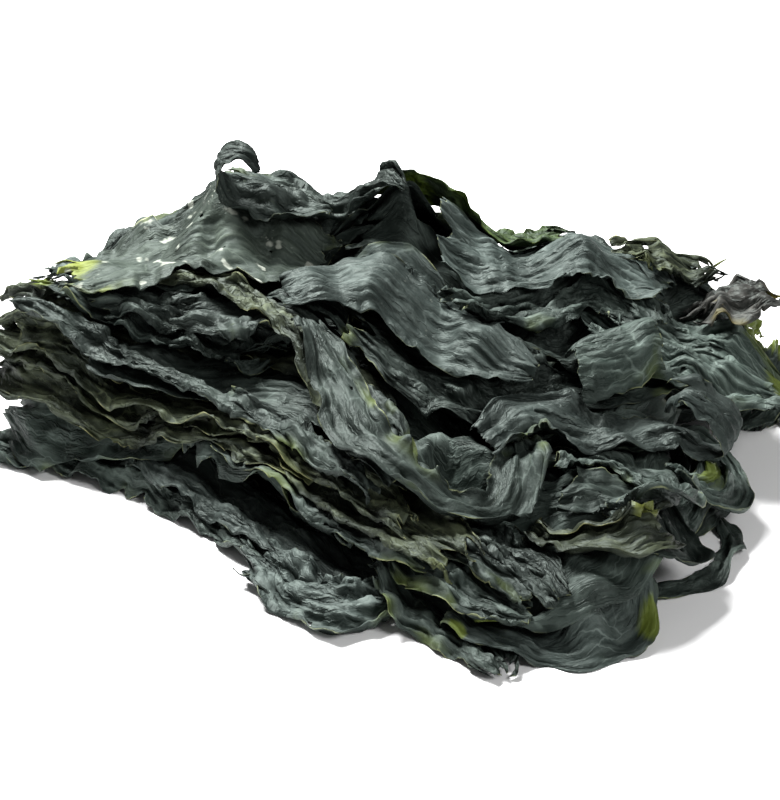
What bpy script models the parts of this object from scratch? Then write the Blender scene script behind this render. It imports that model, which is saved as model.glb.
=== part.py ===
"""Dried kelp: a heap of crumpled, leathery fronds that dried on top of and around each other.

Every frond is one closed solid of its own. It starts as a flat ribbon with a route across the heap,
is gathered into lengthwise pleats, ruffled along its margins, and then laid on what lies under it.
The fronds are laid one after another, so each rests on those before it, as in a real heap.

Sizes are in millimetres until the meshes are made. X runs to the right of the heap's front side,
Y away from it, Z up. The origin is the middle of the heap's footprint, on the surface it lies on.
"""
from dataclasses import dataclass

import bpy
import numpy as np
from mathutils.bvhtree import BVHTree

BLADE = 0.7            # thickness of a dried blade
GAP = 0.35             # air between two blades that lie on each other
CELL = 1.5             # spacing of the height map that keeps what has been laid so far
MAP_CORNER = (-270.0, -230.0)
MAP_CELLS = (360, 320)
FACET = 11.0           # usual length of a facet along a frond
TURN = 0.45            # extra facets where a frond bends, per radian
TIP_LENGTH = 35.0      # how far from its end a blade starts to narrow
MARGIN_WAVE = 38.0     # length of one wave of a ruffled margin
INNER_SHARE = 0.65     # how much of a bend's radius the blade's inner margin may use
BEND_REACH = 14.0      # distance along a frond over which its sharpest bend counts
FOLD_RISE = 9.0        # height over the blade that a folded-back flap would reach at the far margin
SPREAD = 14.0          # radius over which a raised point lifts its neighbours
STEEPEST = 1.3         # a stiff dried blade hangs over an edge and falls no steeper than this
SINKING = 0.1          # step by which a laid blade sinks onto the heap

# The fronds that fill the heap are wide and deeply pleated.
INNER_WIDTH = 78.0
INNER_GATHER = 1.51
INNER_FACET = 30.0

# Colour of the blades, as linear red, green and blue.
SKINS = {
    "dark": (0.018, 0.026, 0.023),
    "blue": (0.032, 0.045, 0.045),
    "olive": (0.045, 0.046, 0.018),
    "pale": (0.085, 0.098, 0.070),
    "green": (0.075, 0.105, 0.018),
    "brown": (0.038, 0.030, 0.026),
}
ROUGHNESS = 0.45


@dataclass
class Frond:
    """One frond: where it runs, and how the ribbon is gathered, ruffled, folded and rolled."""
    name: str
    route: list                    # points on its way across the heap, from base to tip
    width: float                   # between its margins, as gathered
    skin: str = "dark"
    pleats: int = 2                # waves of the section from margin to margin
    gather: float = 1.3            # flat width over gathered width
    ruffle: float = 3.0            # half height of the waves along the margins
    crown: float = 0.0             # height of the middle over the margins
    cup: float = 0.0               # height of the margins over the middle
    stiff: float = 26.0            # radius below which it doesn't sag into a hollow
    curl: tuple = None             # rolled tip: radius, degrees turned, straight length after it
    fold: float = 0.0              # line, from -1 to 1 across, where one side is folded back
    lift: tuple = (0.0, 0.0, 0.0)  # height over the bed at its base, middle and tip
    taper: tuple = (0.5, 0.5)      # width of the two ends, as a share
    across: int = 4                # facets from margin to margin
    facet: float = FACET
    flat: bool = False             # its middle lies flat on the surface
    seed: int = 0

    def __post_init__(self):
        """Works out the track seen from above, the side profile and the places of the facets."""
        line = smooth_line(self.route)
        run = np.append(0, np.cumsum(np.hypot(*np.diff(line, axis=0).T)))
        self.plan_length = run[-1]
        d = np.linspace(0, run[-1], 241)
        x, y = (softened(np.interp(d, run, line[:, c]), 6) for c in (0, 1))
        tx, ty = np.gradient(x, d), np.gradient(y, d)
        size = np.hypot(tx, ty)
        tx, ty = tx / size, ty / size
        bend = softened(tx * np.gradient(ty, d) - ty * np.gradient(tx, d), 12)
        reach = int(BEND_REACH / (d[1] - d[0])) + 1
        near = np.lib.stride_tricks.sliding_window_view(np.pad(bend, reach, mode="edge"), 2 * reach + 1)
        left = INNER_SHARE / np.maximum(near.max(axis=1), 1e-4)
        right = INNER_SHARE / np.maximum(-near.min(axis=1), 1e-4)
        self.track = (d, x, y, tx, ty, left, right)
        along = np.linspace(0, run[-1], int(run[-1]))
        up = np.zeros(len(along))
        turning = np.abs(np.interp(along, d, bend)) * 0.7
        if self.curl:
            radius, degrees, beyond = self.curl
            angle = np.radians(degrees)
            a = np.linspace(0, angle, int(radius * angle) + 2)[1:]
            q = np.linspace(0, beyond, int(beyond) + 2)[1:]
            end_x = run[-1] + radius * np.sin(angle)
            end_z = radius * (1 - np.cos(angle))
            along = np.concatenate([along, run[-1] + radius * np.sin(a), end_x + q * np.cos(angle)])
            up = np.concatenate([up, radius * (1 - np.cos(a)), end_z + q * np.sin(angle)])
            turning = np.concatenate([turning, np.full(len(a), 1 / radius), np.zeros(len(q))])
        steps = np.hypot(np.diff(along), np.diff(up))
        arc = np.append(0, np.cumsum(steps))
        self.length = arc[-1]
        self.profile = (arc / arc[-1], along, up)
        density = 1 / self.facet + np.minimum(turning, 0.12) / TURN
        count = np.append(0, np.cumsum(steps * (density[1:] + density[:-1]) / 2))
        self.rows = max(8, round(count[-1]))
        self.stations = np.interp(np.linspace(0, count[-1], self.rows + 1), count, arc / arc[-1])

    def wobble(self, s, which, waves, size=1.0):
        """A smooth seeded wobble of s, within about -size to size: sines of rising frequency."""
        draw = np.random.default_rng(self.seed * 7 + which)
        total, most = 0.0, 0.0
        for k in range(1, waves + 1):
            share = k ** -0.7
            total = total + share * np.sin(2 * np.pi * (k * s * draw.uniform(0.7, 1.3) + draw.random()))
            most += share
        return 1.6 * size * total / most

    def half_width(self, s, v):
        """Half the gathered width at s, narrowing to the ends, with an uneven margin."""
        near = TIP_LENGTH / self.length
        base, tip = self.taper
        start = base + (1 - base) * np.sin(np.pi / 2 * np.clip(s / near, 0, 1))
        end = tip + (1 - tip) * np.sin(np.pi / 2 * np.clip((1 - s) / near, 0, 1))
        uneven = np.where(v > 0, self.wobble(s, 1, 6), self.wobble(s, 2, 6))
        return self.width / 2 * np.minimum(start, end) * (1 + 0.12 * uneven)

    def section(self, s, v):
        """Sideways place and height of the blade at s along and v across, before it is laid.

        The section is a cosine with `pleats` waves, whose height gathers the flat blade to its
        width. To it come a wave along the margins, a crown, a cup and a folded-back side."""
        beyond = np.clip(np.sign(self.fold) * (v - self.fold), 0, None) if self.fold else np.zeros(1)
        v = np.where(beyond > 0, self.fold - np.sign(self.fold) * beyond * 0.92, v)
        half = self.half_width(s, v)
        a = v * half
        if self.flat:
            h = self.ruffle * np.clip(np.abs(v) * 3 - 2, 0, 1) * (1 + self.wobble(s, 5, 5))
            return a, h
        h = self.crown * (1 - v * v) + self.cup * np.abs(v) ** 3
        if self.pleats:
            height = self.width / (4 * self.pleats) * np.sqrt(self.gather ** 2 - 1)
            height = height * (0.75 + 0.35 * self.wobble(s, 3, 4)) * half / (self.width / 2)
            phase = np.pi * (self.wobble(s, 4, 3, 0.5) + 0.37 * self.seed)
            h = h + height * np.cos(np.pi * self.pleats * v + phase)
        waves = max(2, round(self.length / MARGIN_WAVE))
        swing = 2 * np.pi * waves * s + np.where(v > 0, 0, 1.7) + self.wobble(s, 5, 3, 1.3)
        h = h + self.ruffle * v * v * np.sin(swing + self.seed)
        return a, h + FOLD_RISE * np.sqrt(beyond)

    def place(self, s, v):
        """x, y and height over the bed at s along (0 to 1) and v across (-1 to 1)."""
        d, x, y, tx, ty, left, right = self.track
        share, along, up = self.profile
        q = np.interp(s, share, along)
        held = np.clip(q, 0, self.plan_length)
        x, y, tx, ty, left, right = (np.interp(held, d, c) for c in (x, y, tx, ty, left, right))
        a, h = self.section(s, v)
        line = np.linspace(-1, 1, 25)
        lowest = self.section(*np.meshgrid(s[:, 0], line, indexing="ij"))[1].min(axis=1, keepdims=True)
        pinch = np.minimum(1, np.where(a > 0, left, right) / self.half_width(s, v))
        z = (h - lowest) * pinch + np.interp(s, share, up) + np.interp(s, (0, 0.5, 1), self.lift)
        a = a * pinch
        return x + tx * (q - held) - ty * a, y + ty * (q - held) + tx * a, z

    def lattice(self, finer=1):
        """Values of s and v at the corners of the facets, or of `finer` times as many."""
        steps = np.linspace(0, self.rows, self.rows * finer + 1)
        s = np.interp(steps, np.arange(self.rows + 1), self.stations)
        return np.meshgrid(s, np.linspace(-1, 1, self.across * finer + 1), indexing="ij")


def softened(values, times):
    """The values averaged with their neighbours, so many times over, with the ends held."""
    values = values.copy()
    for _ in range(times):
        values[1:-1] = (values[:-2] + 2 * values[1:-1] + values[2:]) / 4
    return values


def smooth_line(points, per_span=24):
    """A smooth curve through the points: on each span a cubic with slopes set by the neighbours."""
    p = np.asarray(points, float)
    p = np.vstack([2 * p[0] - p[1], p, 2 * p[-1] - p[-2]])
    t = np.linspace(0, 1, per_span, endpoint=False)[:, None]
    spans = []
    for a, b, c, d in zip(p[:-3], p[1:-2], p[2:-1], p[3:]):
        cubic = 2 * b + (c - a) * t + (2 * a - 5 * b + 4 * c - d) * t ** 2
        spans.append((cubic + (3 * b - a - 3 * c + d) * t ** 3) / 2)
    return np.vstack([*spans, p[-2:-1]])


class Heap:
    """What has been laid so far: a map of its top, and the solids themselves."""

    def __init__(self):
        self.top = np.zeros(MAP_CELLS)
        self.grown = self.top
        self.points = np.zeros((0, 3))
        self.faces = np.zeros((0, 3), int)
        self.tree = None

    @staticmethod
    def cell(x, y):
        i = ((np.asarray(x) - MAP_CORNER[0]) / CELL).astype(int)
        j = ((np.asarray(y) - MAP_CORNER[1]) / CELL).astype(int)
        return np.clip(i, 0, MAP_CELLS[0] - 1), np.clip(j, 0, MAP_CELLS[1] - 1)

    def under(self, x, y):
        """Height of the heap at x, y, with one cell to spare on every side."""
        return self.grown[self.cell(x, y)]

    def sinking(self, points, faces):
        """How far this solid can sink until it has only GAP under it, or lies on the surface."""
        height = points[:, 2].min()
        sunk = 0.0
        while sunk < height:
            lower = min(sunk + SINKING, height)
            tried = BVHTree.FromPolygons((points - (0, 0, lower + GAP)).tolist(), faces.tolist())
            if self.tree and self.tree.overlap(tried):
                break
            sunk = lower
        return sunk

    def add(self, points, faces):
        spots = spots_on(points, faces)
        np.maximum.at(self.top, self.cell(spots[..., 0], spots[..., 1]), spots[..., 2])
        self.faces = np.vstack([self.faces, faces + len(self.points)])
        self.points = np.vstack([self.points, points])
        self.tree = BVHTree.FromPolygons(self.points.tolist(), self.faces.tolist())
        wide = np.pad(self.top, 1, mode="edge")
        nx, ny = MAP_CELLS
        self.grown = np.max([wide[i:i + nx, j:j + ny] for i in range(3) for j in range(3)], axis=0)


def draped(x, y, height, to_x, to_y, radius):
    """Height of a sheet laid on the points: it bridges hollows that are tighter than its radius.

    A paraboloid of that radius is pressed on the points from above, and the sheet is what it
    can't reach. Where that falls too steeply, the sheet hangs over the edge instead."""
    apart = (x[:, None] - x) ** 2 + (y[:, None] - y) ** 2
    held = (height - apart / (2 * radius)).max(axis=1)
    apart = (to_x[:, None] - x) ** 2 + (to_y[:, None] - y) ** 2
    sheet = (held + apart / (2 * radius)).min(axis=1)
    apart = np.hypot(to_x[:, None] - to_x, to_y[:, None] - to_y)
    return (sheet - STEEPEST * apart).max(axis=1)


def blade_solid(middle):
    """Corners and triangles of a closed blade round the lattice of its middle surface.

    Both faces are split along the same diagonals."""
    rows, columns = middle.shape[:2]
    normal = np.cross(np.gradient(middle, axis=0), np.gradient(middle, axis=1))
    normal /= np.linalg.norm(normal, axis=2, keepdims=True)
    points = np.concatenate([middle + normal * BLADE / 2, middle - normal * BLADE / 2]).reshape(-1, 3)
    corner = np.arange(rows * columns).reshape(rows, columns)
    steps = ((0, 0), (1, 0), (1, 1), (0, 1))
    a, b, c, d = (corner[i:rows - 1 + i, j:columns - 1 + j].ravel() for i, j in steps)
    other = np.add.outer(np.arange(rows - 1), np.arange(columns - 1)).ravel() % 2 == 1
    first = np.where(other[:, None], np.stack([a, b, c], 1), np.stack([a, b, d], 1))
    second = np.where(other[:, None], np.stack([a, c, d], 1), np.stack([b, c, d], 1))
    upper = np.vstack([first, second])
    rim = np.concatenate([corner[:, 0], corner[-1, 1:], corner[-2::-1, -1], corner[0, -2:0:-1]])
    ahead = np.roll(rim, -1)
    under = corner.size
    sides = [np.stack([rim, rim + under, ahead], 1), np.stack([ahead, rim + under, ahead + under], 1)]
    return points, np.vstack([upper, upper[:, ::-1] + under, *sides])


def spots_on(points, faces, parts=14):
    """Points spread over every facet, close enough for each map cell to get some."""
    share = np.array([(i / parts, j / parts) for i in range(parts + 1) for j in range(parts + 1 - i)])
    a, b, c = (points[faces[:, k]][:, None] for k in range(3))
    return a + (b - a) * share[:, :1] + (c - a) * share[:, 1:]


def lay(heap, frond):
    """Lays the frond on the heap, and returns the corners and triangles of its solid."""
    x, y, _ = (c.ravel() for c in frond.place(*frond.lattice(3)))
    s, v = frond.lattice()
    to_x, to_y, rise = frond.place(s, v)
    bed = draped(x, y, heap.under(x, y), to_x.ravel(), to_y.ravel(), frond.stiff).reshape(s.shape)
    points, faces = blade_solid(np.stack([to_x, to_y, bed + rise + BLADE / 2], axis=2))
    spots = spots_on(points, faces)
    sunk = heap.under(spots[..., 0], spots[..., 1]) + GAP - spots[..., 2]
    raised = np.zeros(s.size)
    for k in range(3):
        np.maximum.at(raised, faces[:, k] % s.size, sunk.max(axis=1))
    apart = (to_x.ravel()[:, None] - to_x.ravel()) ** 2 + (to_y.ravel()[:, None] - to_y.ravel()) ** 2
    raised = np.maximum((raised - apart / (2 * SPREAD)).max(axis=1), 0)
    points[:, 2] += np.tile(raised, 2)
    spots = spots_on(points, faces)
    spare = (spots[..., 2] - heap.under(spots[..., 0], spots[..., 1])).min() - GAP
    points[:, 2] -= spare
    sunk = heap.sinking(points, faces)
    points[:, 2] -= sunk
    heap.add(points, faces)
    frond.bed = bed + raised.reshape(s.shape) - spare - sunk
    return points, faces


# The lowest fronds, which lie on the surface and stick out from under the heap.
LOW_FRONDS = [
    Frond("flat_base", [(-150, 35), (-60, 30), (30, 10), (120, 0)], 84, ruffle=2, flat=True,
          across=6, facet=28),
    Frond("low_left", [(-215, 50), (-170, 32), (-120, 2), (-80, -35), (-45, -88)], 42, ruffle=4, facet=14),
    Frond("low_centre", [(-125, 5), (-85, -25), (-40, -75), (10, -112)], 40, "blue", gather=1.2),
    Frond("right_loop", [(112, -12), (142, -10), (162, -32), (166, -62), (153, -90), (129, -102),
                         (102, -104)], 12, pleats=1, gather=1.1, ruffle=1.5, stiff=50, across=2),
    Frond("back_low", [(-190, 80), (-110, 140), (0, 155), (110, 140)], 50, ruffle=4, facet=24),
    Frond("right_low", [(92, 138), (150, 130), (190, 108), (202, 80), (195, 56)], 42, ruffle=4, facet=14),
]

# Routes of the fronds that fill the heap, from the lowest to the topmost. Nobody sees them, so they
# are plain bows: long ones under the crest from end to end, and shorter ones where it is highest.
INNER_ROUTES = [
    [(-200, 80), (-80, 85), (40, 50), (190, 100)],
    [(-200, 85), (-90, 80), (30, 55), (190, 95)],
    [(190, 100), (80, 50), (-60, 85), (-200, 85)],
    [(-200, 60), (-60, 10), (50, -35), (110, -35), (155, 15)],
    [(190, 115), (70, 105), (-125, 120)],
    [(190, 85), (60, 30), (-80, 75), (-190, 80)],
    [(130, -35), (50, -75), (-40, -25), (-95, 15)],
    [(115, 115), (20, 120), (-80, 130)],
    [(140, -15), (95, -70), (30, -65), (-15, -35)],
    [(-35, 135), (45, 125), (125, 115)],
    [(-25, 75), (50, 45), (130, 65)],
]
INNER_FRONDS = [
    Frond(f"inner_{number}", route, INNER_WIDTH, gather=INNER_GATHER, stiff=12, facet=INNER_FACET,
          seed=20 + number)
    for number, route in enumerate(INNER_ROUTES, 1)
]

# The fronds that show, from the lowest to the topmost.
OUTER_FRONDS = [
    Frond("silver_pocket", [(-70, -80), (-40, -112), (-18, -122), (8, -118)], 30, "blue", cup=3),
    Frond("front_tip", [(-5, -100), (25, -130), (42, -148), (52, -172)], 40, gather=1.2, taper=(0.6, 0.1)),
    Frond("outer_lobe", [(26, -132), (57, -146), (84, -147), (105, -131), (111, -106)], 38, "blue",
          pleats=1, gather=1.2, crown=6),
    Frond("inner_lobe", [(30, -118), (60, -133), (84, -132), (102, -116), (108, -92)], 40, gather=1.25,
          ruffle=2, crown=5),
    Frond("right_lobe", [(78, -76), (108, -72), (130, -88), (134, -106), (108, -116)], 28, gather=1.2, cup=3),
    Frond("back_middle", [(-150, 125), (-60, 140), (40, 135), (130, 120), (180, 90)], 54, gather=1.35,
          ruffle=4, facet=22),
    Frond("front_pleats", [(-30, -55), (10, -100), (40, -130), (66, -145)], 40, pleats=3, ruffle=2, across=6),
    Frond("middle_pleats", [(15, -85), (40, -112), (62, -130), (75, -148)], 38, pleats=3, ruffle=2, across=6),
    Frond("front_strand", [(-95, -18), (-55, -52), (-18, -92), (18, -128)], 16, pleats=1, gather=1.2,
          ruffle=3, across=2, facet=20, seed=153),
    Frond("folded_lip", [(66, -82), (84, -104), (108, -112), (130, -100)], 42, "olive", pleats=1, gather=1.1,
          ruffle=1, fold=0.4, across=5),
    Frond("lip_band", [(-210, 55), (-170, 30), (-115, 4), (-52, -40), (0, -92), (38, -135)], 34, "olive",
          facet=14),
    Frond("wide_olive", [(-205, 60), (-160, 38), (-110, 12), (-55, -26), (-5, -76)], 38, "olive",
          pleats=3, gather=1.35, across=6, facet=14),
    Frond("olive_strand", [(-210, 54), (-160, 28), (-112, 0), (-60, -35), (-15, -82), (12, -116)], 20,
          "olive", pleats=1, gather=1.2, ruffle=2.5, across=2),
    Frond("rosette", [(66, -62), (94, -45), (122, -56), (126, -84), (98, -98)], 34, gather=1.45, ruffle=4),
    Frond("brown_strip", [(-210, 62), (-165, 44), (-120, 28), (-80, 14), (-38, -8), (0, -40)], 38, "olive",
          gather=1.35, ruffle=4),
    Frond("smooth_band", [(-150, 22), (-100, 8), (-52, -10), (-14, -42), (14, -92)], 30, pleats=1,
          gather=1.1, ruffle=1.5, cup=3, stiff=60, across=3),
    Frond("brown_strand", [(-205, 72), (-150, 52), (-95, 34), (-48, 10), (-12, -24), (8, -62)], 18,
          "olive", pleats=1, gather=1.2, ruffle=2.5, across=2),
    Frond("lip_strand", [(-196, 50), (-150, 24), (-100, -4), (-48, -46), (-8, -98)], 15, pleats=1,
          gather=1.2, ruffle=2.5, across=2, facet=20, seed=151),
    Frond("ragged_left", [(-186, 66), (-160, 62), (-125, 47), (-85, 27), (-45, 12)], 44, ruffle=6),
    Frond("dark_strips", [(-155, 44), (-105, 42), (-60, 27), (-25, 7)], 42, gather=1.35),
    Frond("wide_fall", [(-110, 22), (-65, 22), (-36, 6), (-16, -38), (6, -92)], 34, gather=1.25),
    Frond("dark_strand", [(-130, 52), (-80, 42), (-40, 28), (-12, 8)], 18, pleats=1, gather=1.2,
          ruffle=2.5, across=2),
    Frond("thin_strand", [(-150, 56), (-100, 40), (-60, 16), (-36, -22), (-14, -62)], 14, "olive",
          pleats=1, gather=1.2, ruffle=2.5, across=2, facet=20, seed=152),
    Frond("spiral_bed", [(98, -32), (130, -12), (160, -18), (160, -44), (134, -54)], 30),
    Frond("right_edge", [(150, 5), (178, 22), (200, 50), (208, 82)], 42, ruffle=5,
          lift=(0, 8, 16)),
    Frond("right_fan", [(100, 60), (132, 45), (165, 27), (202, 14)], 54, pleats=3, gather=1.35, ruffle=4,
          across=6),
    Frond("brown_sheet", [(150, 58), (178, 54), (208, 52)], 46, "brown", gather=1.2, ruffle=4,
          lift=(4, 12, 22)),
    Frond("centre_fold", [(-20, 14), (20, 2), (56, -8), (92, 6)], 40, gather=1.35),
    Frond("s_fold", [(-44, 6), (-24, -34), (-10, -76), (22, -98), (54, -84), (64, -54), (62, -30)],
          26, gather=1.2, cup=3),
    Frond("middle_sweep", [(42, -46), (70, -26), (104, -28), (138, -22), (152, -26)], 34, "blue",
          gather=1.2, curl=(14, 262, 2), taper=(0.8, 0.4)),
    Frond("back_high", [(-130, 110), (-40, 125), (50, 115), (130, 95)], 56, gather=1.4, ruffle=4, facet=16),
    Frond("upper_left", [(-158, 104), (-125, 116), (-90, 110), (-50, 96)], 40),
    Frond("pale_sheet", [(-170, 52), (-125, 68), (-80, 74), (-25, 70)], 66, "pale", gather=1.06),
    Frond("grey_piece", [(58, 32), (30, 44), (0, 52), (-35, 40)], 40, "blue", pleats=1, gather=1.1,
          ruffle=1, fold=0.4, across=5, stiff=45),
    Frond("long_strip", [(-55, 27), (-10, 32), (30, 17), (72, -6)], 38, "blue", pleats=1, gather=1.08,
          ruffle=2, crown=3, stiff=70, taper=(0.6, 0.15)),
    Frond("pleated_strip", [(25, 30), (65, 50), (110, 60), (138, 35)], 42, pleats=3, gather=1.35, across=6),
    Frond("blue_sheet", [(25, 78), (70, 80), (110, 80), (148, 65)], 54, "blue", gather=1.1),
    Frond("rolled_blade", [(90, 4), (110, 9), (134, 17)], 42, pleats=0, ruffle=1, crown=18, stiff=60,
          taper=(0.9, 0.7)),
    Frond("ragged_right", [(115, 80), (145, 85), (178, 80)], 34, "olive", ruffle=5, lift=(0, 2, 4)),
    Frond("green_back", [(-30, 112), (5, 112), (40, 112), (95, 100)], 36, "green", gather=1.15),
    Frond("narrow_ridge", [(-85, 114), (-50, 106), (-18, 92), (8, 78)], 26, gather=1.25,
          taper=(0.5, 0.3)),
    Frond("hook", [(-30, 84), (-54, 87), (-78, 88)], 22, pleats=1, gather=1.2, ruffle=1, curl=(12, 225, 4),
          lift=(0, 0, 1), across=3),
]


def material_for(frond):
    """The blade's colour, a little lighter or darker from one frond to the next."""
    tone = 1 + 0.2 * np.sin(2.4 * frond.seed)
    material = bpy.data.materials.new(f"dried kelp {frond.name}")
    material.use_nodes = True
    shader = material.node_tree.nodes["Principled BSDF"]
    shader.inputs["Base Color"].default_value = (*(tone * c for c in SKINS[frond.skin]), 1)
    shader.inputs["Roughness"].default_value = ROUGHNESS
    shader.inputs["Metallic"].default_value = 0
    return material


def add_object(collection, frond, points, faces):
    mesh = bpy.data.meshes.new(frond.name)
    mesh.from_pydata((points / 1000).tolist(), [], faces.tolist())
    mesh.materials.append(material_for(frond))
    mesh.shade_smooth()
    mesh.set_sharp_from_angle(angle=np.radians(60))
    collection.objects.link(bpy.data.objects.new(frond.name, mesh))


def main():
    for old in list(bpy.data.objects):
        bpy.data.objects.remove(old)
    collection = bpy.data.collections.new("dried kelp")
    bpy.context.scene.collection.children.link(collection)
    heap = Heap()
    laid = []
    # The fronds without a seed of their own are numbered in turn.
    for number, frond in enumerate(frond for frond in LOW_FRONDS + OUTER_FRONDS if not frond.seed):
        frond.seed = 60 + number
    for frond in LOW_FRONDS + INNER_FRONDS + OUTER_FRONDS:
        laid.append((frond, *lay(heap, frond)))
    low = np.min([points.min(axis=0) for _, points, _ in laid], axis=0)
    high = np.max([points.max(axis=0) for _, points, _ in laid], axis=0)
    origin = np.array([(low[0] + high[0]) / 2, (low[1] + high[1]) / 2, low[2]])
    for frond, points, faces in laid:
        add_object(collection, frond, points - origin, faces)
    return heap, laid, origin


if __name__ == "__main__":
    main()
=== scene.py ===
# %% [markdown]
# # Dried kelp
# A heap of long kelp blades that dried in the air, lying on top of and around each other. The
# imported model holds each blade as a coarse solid. This script lays the same blades once more, gives
# each one a fine surface with its pleats, frilled margins and torn ends, and gives them their skin.
#
# Lengths are in millimetres until a mesh is made. X runs to the right of the heap's front side,
# Y away from it, Z up.

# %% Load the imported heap
from dataclasses import dataclass

import bpy
import numpy as np
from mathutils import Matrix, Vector
from mathutils.bvhtree import BVHTree


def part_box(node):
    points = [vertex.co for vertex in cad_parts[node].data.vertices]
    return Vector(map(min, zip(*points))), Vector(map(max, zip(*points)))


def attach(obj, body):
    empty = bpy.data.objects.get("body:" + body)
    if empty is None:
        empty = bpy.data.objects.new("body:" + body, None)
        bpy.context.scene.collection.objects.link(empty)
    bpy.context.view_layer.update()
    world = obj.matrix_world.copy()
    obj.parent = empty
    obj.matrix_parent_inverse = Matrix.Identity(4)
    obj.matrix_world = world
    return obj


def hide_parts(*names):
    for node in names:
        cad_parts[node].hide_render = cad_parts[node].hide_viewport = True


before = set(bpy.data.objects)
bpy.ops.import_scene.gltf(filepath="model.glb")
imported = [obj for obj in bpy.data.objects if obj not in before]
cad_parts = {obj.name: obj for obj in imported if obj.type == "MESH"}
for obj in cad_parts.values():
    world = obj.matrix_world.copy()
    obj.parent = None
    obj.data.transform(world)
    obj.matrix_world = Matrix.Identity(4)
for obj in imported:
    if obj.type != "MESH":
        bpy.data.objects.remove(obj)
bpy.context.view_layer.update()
print("packed solids:", len(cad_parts))

# %% [markdown]
# ## The camera
# The picture was taken from a little above the heap, with a long lens, straight at its front. The
# camera is placed by its height angle and distance from a point in the heap's middle, in the
# coordinates in which the blades are laid. `LAID_ORIGIN`, measured further down, turns those into
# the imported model's.

# %% Camera values
LOOKING_DOWN = 28.0            # degrees
CAMERA_DISTANCE = 1150.0
AIM = np.array([0.0, 0.0, 50.0])
LENS = 103.5                   # focal length for a sensor 36 mm wide
print("camera looks down by", LOOKING_DOWN, "degrees")

# %% [markdown]
# ## How a blade is described
# A real frond is a flat ribbon that shrinks as it dries: it gathers into lengthwise pleats, its
# margins, which grew longer than its middle, ruffle, and its tip may roll up. Each frond is
# described by the route it takes across the heap and by a few numbers for these. They are the same
# ones that the solids were made from, so each fine blade lies where its solid does.

# %% The frond's values
BLADE = 0.7            # thickness of a solid
GAP = 0.35             # air between two solids
CELL = 1.5             # spacing of the height map that keeps what has been laid so far
MAP_CORNER = (-270.0, -230.0)
MAP_CELLS = (360, 320)
FACET = 11.0           # usual length of a solid's facet along its frond
TURN = 0.45            # extra facets where a frond bends, per radian
TIP_LENGTH = 35.0      # how far from its end a blade starts to narrow
MARGIN_WAVE = 38.0     # length of one wave of a ruffled margin
INNER_SHARE = 0.65     # how much of a bend's radius the blade's inner margin may use
BEND_REACH = 14.0      # distance along a frond over which its sharpest bend counts
FOLD_RISE = 9.0        # height that a folded-back flap would reach at the far margin


@dataclass
class Frond:
    """One frond: where it runs, and how the ribbon is gathered, ruffled, folded and rolled."""
    name: str
    route: list            # points on its way across the heap, from base to tip
    width: float           # between its margins, as gathered
    skin: str = "dark"     # kind of blade
    pleats: int = 2        # waves of the section from margin to margin
    gather: float = 1.3    # flat width over gathered width
    ruffle: float = 3.0    # half height of the waves along the margins
    crown: float = 0.0     # height of the middle over the margins
    cup: float = 0.0       # height of the margins over the middle
    stiff: float = 26.0    # radius below which it doesn't sag into a hollow
    curl: tuple = None     # rolled tip: radius, degrees turned, straight length after it
    fold: float = 0.0      # line, from -1 to 1 across, where one side is folded back
    lift: tuple = (0.0, 0.0, 0.0)  # height over the bed at its base, middle and tip
    taper: tuple = (0.5, 0.5)  # width of the two ends, as a share
    across: int = 4        # facets from margin to margin
    facet: float = FACET   # usual length of its facets
    flat: bool = False     # its middle lies flat on the surface
    seed: int = 0          # of its random draws, with 0 for the next one


# %% [markdown]
# ## The track of a frond
# A few points give its route. A smooth cubic through them, resampled at even steps and averaged a
# little, gives the track, with its direction and its bend at each step. Where the track bends
# sharply, the blade's inner margin may use only a share of the bend's radius, or it would cross
# itself.

# %% Track helpers
SPAN_STEPS = 24        # points read on each span of a route
TRACK_STEPS = 240      # even steps of a track
BEND_SHARE = 0.7       # share of a track's bend that asks for more facets
MOST_TURNING = 0.12    # radians per millimetre above which a bend asks for no more


def softened(values, times):
    """The values averaged with their neighbours, so many times over, with the ends held."""
    values = values.copy()
    for _ in range(times):
        values[1:-1] = (values[:-2] + 2 * values[1:-1] + values[2:]) / 4
    return values


def between(values, at):
    """Rows of a table at fractional row numbers: on each span a cubic, sloped by its neighbours."""
    wide = np.concatenate([2 * values[:1] - values[1:2], values, 2 * values[-1:] - values[-2:-1]])
    k = np.clip(at.astype(int), 0, len(values) - 2)
    t = (at - k)[:, None]
    a, b, c, d = (wide[k + i] for i in range(4))
    return b + t / 2 * ((c - a) + t * (2 * a - 5 * b + 4 * c - d + t * (3 * b - a - 3 * c + d)))


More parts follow.
